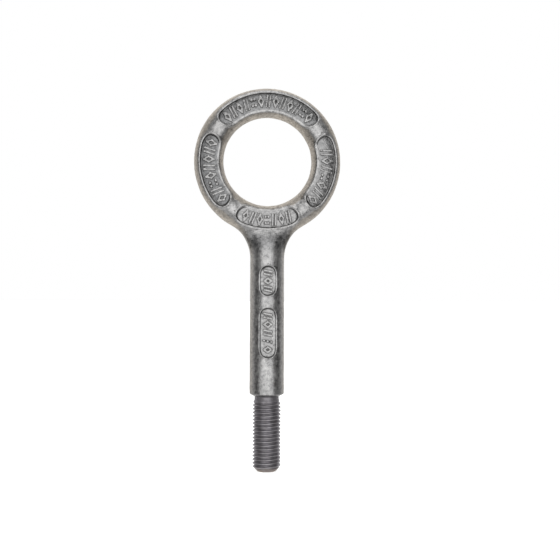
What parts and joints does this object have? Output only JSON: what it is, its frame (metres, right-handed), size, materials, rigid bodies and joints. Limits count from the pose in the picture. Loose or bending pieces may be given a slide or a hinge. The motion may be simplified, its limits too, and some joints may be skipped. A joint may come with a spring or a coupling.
{
  "type": "eye bolt",
  "caption": "Forged eye bolt: round closed eye on a long plain shank, with a conical shoulder, a thread relief and a coarse metric thread below it.",
  "frame": {"origin": "on the thread's axis at the foot of the conical shoulder, where the relief groove begins", "axes": "+Z along the shank towards the eye, +Y through the eye from its marked face to its plain face, +X across the eye"},
  "size_m": [0.0812, 0.019, 0.2119],
  "materials": {
    "forged_steel": "as forged and shot blasted, self-coloured, lightly oiled",
    "rolled_thread": "turned and rolled, darker and smoother than the forging"
  },
  "bodies": {
    "root": {"eye": "forged_steel", "shank": "forged_steel", "threaded_end": "rolled_thread"}
  },
  "joints": []
}
